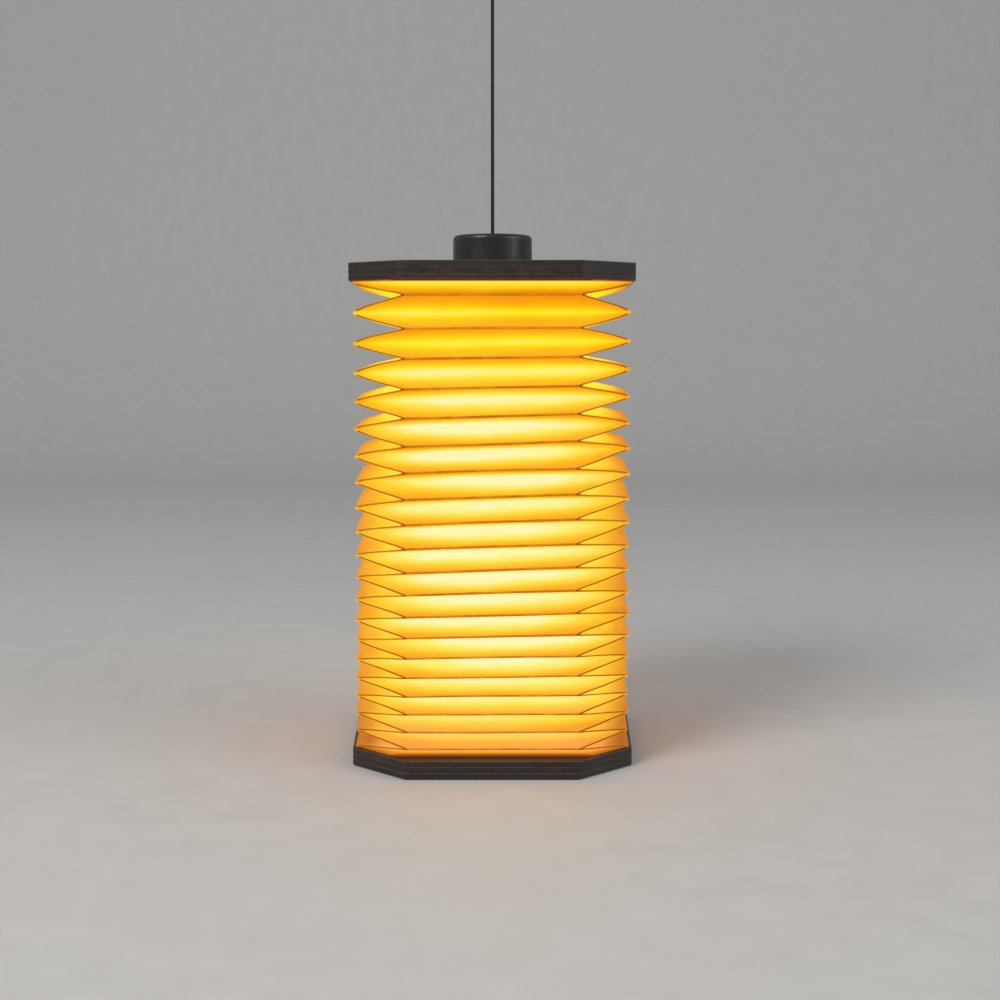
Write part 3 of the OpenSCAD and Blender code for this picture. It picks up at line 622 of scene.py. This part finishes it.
for sheet, brightness in endSheets.items():
    paint(newMaterial("glued_" + sheet, endSheetLook, Emission_Strength=brightness,
                      Specular_IOR_Level=0.2), sheet)


# plastics: a fine moulded grain, with faint handling marks
def mouldedLook(dark, light, grain=2600.0, depth=0.00002, rough=(0.38, 0.56)):
    def look(tree):
        place = tree.place()
        fine = tree.noise(place, grain, 2.0, 0.6)
        marks = tree.noise(place, 90.0, 5.0, 0.7)
        return {"Base Color": (marks * 0.6 + fine * 0.4).ramp((0.35, dark), (0.65, light)),
                "Roughness": marks.fit(0.36, 0.66, *rough), "height": (fine + marks * 0.4, depth)}
    return look


def rubberLook(tree):
    place = tree.place()
    fine = tree.noise(place, 3400.0, 3.0, 0.7)
    dust = tree.noise(place, 420.0, 3.0, 0.6)
    return {"Base Color": (dust * 0.7 + fine * 0.3).ramp((0.4, (0.012, 0.012, 0.012)),
                                                        (0.7, (0.034, 0.033, 0.031))),
            "Roughness": 0.80 + (fine - 0.5) * 0.2, "height": (fine, 0.00005)}


# metals: fine lines either round the axis (turned) or along one way (drawn)
def metalLook(dark, light, turned=False, along=(1, 1, 1), fine=1500.0, rough=(0.24, 0.42),
              depth=0.000008):
    def look(tree):
        place = tree.place()
        if turned:
            reach = (place.part(0) ** 2.0 + place.part(1) ** 2.0) ** 0.5
            lines = tree.noise(tree.add("ShaderNodeCombineXYZ", {}, {0: reach, 1: place.part(2) * 0.2}),
                               fine * 2.5, 3.0, 0.7)
        else:
            lines = tree.noise(place, fine, 3.0, 0.7, along)
        patina = tree.noise(place, 120.0, 3.0, 0.6)
        tone = lines * 0.55 + patina * 0.45
        return {"Base Color": tone.ramp((0.38, dark), (0.62, light)),
                "Roughness": tone.fit(0.38, 0.62, rough[1], rough[0]), "height": (lines, depth)}
    return look


def foilLook(tree):
    # soft pouch foil, with amber tape across the end where the leads come out
    place = tree.place()
    crinkle = tree.noise(place, 130.0, 4.0, 0.6)
    tape = place.part(1).fit(-0.0005, 0.0, 0.0, 1.0)
    foil = crinkle.ramp((0.35, (0.46, 0.47, 0.49)), (0.65, (0.72, 0.73, 0.75)))
    return {"Base Color": tape.mixed(foil, (0.42, 0.19, 0.025)), "Metallic": 1.0 - tape,
            "Roughness": 0.34 + crinkle * 0.2 - tape * 0.1, "height": (crinkle, 0.00035)}


def boardLook(tree):
    # green solder mask over copper tracks
    place = tree.place()
    track = tree.add("ShaderNodeTexVoronoi", {"distance": "MANHATTAN", "feature": "F1"},
                     {"Vector": place, "Scale": 420.0, "Randomness": 0.55})
    web = (track * 3.0).math("FRACT").fit(0.35, 0.5)
    mottle = tree.noise(place, 800.0, 2.0)
    colour = (web * 0.7 + mottle * 0.3).ramp((0.2, (0.010, 0.085, 0.036)), (0.8, (0.022, 0.150, 0.062)))
    return {"Base Color": colour, "Roughness": 0.30 + mottle * 0.16, "height": (web, 0.00003)}


def partsLook(tree):
    place = tree.place()
    fine = tree.noise(place, 4200.0, 2.0, 0.6)
    return {"Base Color": fine.ramp((0.35, (0.014, 0.014, 0.016)), (0.7, (0.040, 0.040, 0.043))),
            "Roughness": 0.50 + fine * 0.25, "height": (fine, 0.00002)}


def pairLook(middle, first, second):
    # two leads side by side, parted at the middle between them
    def look(tree):
        place = tree.place()
        which = place.part(0).fit(middle - 0.0002, middle + 0.0002)
        sheen = tree.noise(place, 1500.0, 2.0)
        return {"Base Color": (sheen * 0.25).mixed(which.mixed(first, second), (0.35, 0.33, 0.31)),
                "Roughness": 0.34 + sheen * 0.2}
    return look


def ledBoardLook(tree):
    # white mask with pale tracks; bare aluminium round the edge
    place = tree.place()
    edge = abs(tree.add("ShaderNodeTexCoord", out="Normal").part(2)).fit(0.3, 0.7, 1.0, 0.0)
    reach = (place.part(0) ** 2.0 + place.part(1) ** 2.0) ** 0.5
    ring = (reach * 260.0).math("FRACT")
    ring = ring.fit(0.40, 0.46) * ring.fit(0.54, 0.6, 1.0, 0.0)
    mottle = tree.noise(place, 900.0, 2.0)
    mask = (ring * 0.35 + mottle * 0.2).ramp((0.0, (0.84, 0.84, 0.81)), (0.6, (0.62, 0.60, 0.54)))
    return {"Base Color": edge.mixed(mask, (0.60, 0.61, 0.62)), "Metallic": edge,
            "Roughness": 0.36 + mottle * 0.15 - edge * 0.08}


def chipLook(tree):
    # phosphor on top, a white frame round the sides
    top = tree.add("ShaderNodeTexCoord", out="Normal").part(2).fit(0.4, 0.8)
    grain = tree.noise(tree.place(), 3000.0, 2.0)
    phosphor = grain.ramp((0.3, (0.86, 0.56, 0.10)), (0.7, (0.95, 0.68, 0.16)))
    return {"Base Color": top.mixed((0.80, 0.79, 0.75), phosphor),
            "Emission Color": top.mixed((0.0, 0.0, 0.0), (1.0, 0.72, 0.35)),
            "Roughness": 0.34 + grain * 0.2}


def opalLook(tree):
    # frosted and evenly lit, a little hotter over the rings of chips
    place = tree.place()
    reach = (place.part(0) ** 2.0 + place.part(1) ** 2.0) ** 0.5
    frost = tree.noise(place, 2400.0, 3.0, 0.7)
    lit = reach.fit(0.010, 0.034, 1.0, 0.35) + (frost - 0.5) * 0.05
    return {"Base Color": frost.ramp((0.3, (0.86, 0.80, 0.68)), (0.7, (0.92, 0.87, 0.76))),
            "Emission Color": lit.ramp((0.0, (0.60, 0.33, 0.10)), (1.0, (1.0, 0.80, 0.48))),
            "Roughness": 0.46 + frost * 0.16, "height": (frost, 0.00002)}


blackPlastic, redPlastic, greyPlastic = (0.012, 0.012, 0.012), (0.40, 0.018, 0.013), (0.34, 0.33, 0.31)
batteryLeadsAt, lightLeadsAt = 10.5 * mm, -10.5 * mm      # the middle between two leads

# name, look, even settings, pieces
finishes = [
    ("satinPuckBlack", mouldedLook((0.0085, 0.0075, 0.0072), (0.0165, 0.0145, 0.0138),
                                   rough=(0.30, 0.46)), {"Coat_Weight": 0.1}, ["puck_shell"]),
    ("buttonBlack", mouldedLook(blackPlastic, (0.024, 0.024, 0.023)), {}, ["switch_button"]),
    ("footRubber", rubberLook, {"Specular_IOR_Level": 0.35}, ["feet"]),
    ("housingWhite", mouldedLook((0.72, 0.71, 0.67), (0.80, 0.79, 0.75)), {}, ["light_housing"]),
    ("pouchFoil", foilLook, {}, ["battery"]),
    ("solderMask", boardLook, {"Coat_Weight": 0.2}, ["control_board"]),
    ("partsBlack", partsLook, {}, ["board_components", "tact_switch"]),
    ("redAndBlackLeads", pairLook(batteryLeadsAt, blackPlastic, redPlastic), {}, ["battery_leads"]),
    ("lightLeads", pairLook(lightLeadsAt, blackPlastic, greyPlastic), {}, ["led_leads"]),
    ("lightBoardWhite", ledBoardLook, {}, ["led_board"]),
    ("phosphor", chipLook, {"Emission_Strength": 2.0}, ["led_chips"]),
    ("opalDiffuser", opalLook, {"Emission_Strength": 1.0}, ["light_diffuser"]),
    ("zincScrew", metalLook((0.42, 0.42, 0.43), (0.62, 0.62, 0.63), fine=2200.0),
     {"Metallic": 1.0}, ["board_screws", "light_housing_screws", "led_board_screws", "puck_screws"]),
    ("drawnSocket", metalLook((0.50, 0.51, 0.53), (0.68, 0.69, 0.71), along=(1, 0.08, 1)),
     {"Metallic": 1.0}, ["charge_socket"]),
    ("turnedKeeper", metalLook((0.22, 0.22, 0.24), (0.38, 0.38, 0.40), turned=True, rough=(0.30, 0.46)),
     {"Metallic": 1.0}, ["keeper_disc", "puck_plate"]),
    ("nickelMagnet", metalLook((0.60, 0.59, 0.57), (0.72, 0.71, 0.69), fine=700.0, rough=(0.12, 0.24)),
     {"Metallic": 1.0}, ["puck_magnet"]),
    ("brassBush", metalLook((0.30, 0.205, 0.085), (0.46, 0.33, 0.15), turned=True),
     {"Metallic": 1.0}, ["cord_bush"]),
    ("blackenedFerrule", metalLook((0.016, 0.0155, 0.015), (0.040, 0.038, 0.036), fine=900.0,
                                   along=(1, 1, 0.1), rough=(0.34, 0.5)),
     {"Metallic": 0.85}, ["loop_ferrule"]),
]
for name, look, uniform, painted in finishes:
    paint(newMaterial(name, look, **uniform), *painted)
print("finishes:", len(finishes) + len(boards) + len(endSheets))


# the pale sweep, two soft lamps and an even sky
studio = {
    "floorSize": 6.0, "backAt": 1.6, "bend": 0.7, "bendSteps": 24, "wallTop": 3.0,
    "keyPower": 23.0, "fillPower": 8.0, "skyPower": 0.38, "skyColour": (0.93, 0.96, 1),
}


def sweepLook(tree):
    grain = tree.noise(tree.place(), 40.0, 3.0)
    return {"Base Color": grain.ramp((0.3, (0.60, 0.59, 0.575)), (0.7, (0.63, 0.62, 0.605))),
            "Roughness": 0.62 + grain * 0.1}


def makeSweep():
    # a pale floor that bends up into a back wall
    mesh = bpy.data.meshes.new("sweep")
    half, back, bend = studio["floorSize"] / 2, studio["backAt"], studio["bend"]
    turn = [math.pi / 2 * i / studio["bendSteps"] for i in range(studio["bendSteps"] + 1)]
    profile = [(-half, 0.0)] + [(back + bend * math.sin(a), bend - bend * math.cos(a)) for a in turn]
    profile.append((back + bend, studio["wallTop"]))
    points = [(side * half, y, z) for y, z in profile for side in (-1, 1)]
    faces = [(2 * i, 2 * i + 1, 2 * i + 3, 2 * i + 2) for i in range(len(profile) - 1)]
    mesh.from_pydata(points, [], faces)
    for polygon in mesh.polygons:
        polygon.use_smooth = True
    mesh.materials.append(newMaterial("paleSweep", sweepLook))
    return newObject("sweep", mesh)


makeSweep()


def softLight(name, place, aim, size, power, colour=(1, 1, 1)):
    lamp = bpy.data.lights.new(name, "AREA")
    lamp.shape, lamp.size, lamp.energy, lamp.color = "DISK", size, power, colour
    made = newObject(name, lamp)
    made.location = place
    made.rotation_euler = (Vector(aim) - Vector(place)).to_track_quat("-Z", "Y").to_euler()


softLight("keyLight", (-1.1, -1.2, 1.5), (0, 0, 0.12), 1.1, studio["keyPower"], (1, 0.98, 0.95))
softLight("fillLight", (1.5, -0.7, 0.9), (0, 0, 0.15), 1.2, studio["fillPower"], (0.95, 0.97, 1))
sky = bpy.data.worlds.new("studio")
sky.use_nodes = True
backdrop = sky.node_tree.nodes["Background"]
backdrop.inputs["Color"].default_value = (*studio["skyColour"], 1)
backdrop.inputs["Strength"].default_value = studio["skyPower"]
scene.world = sky
print("floor and light set")
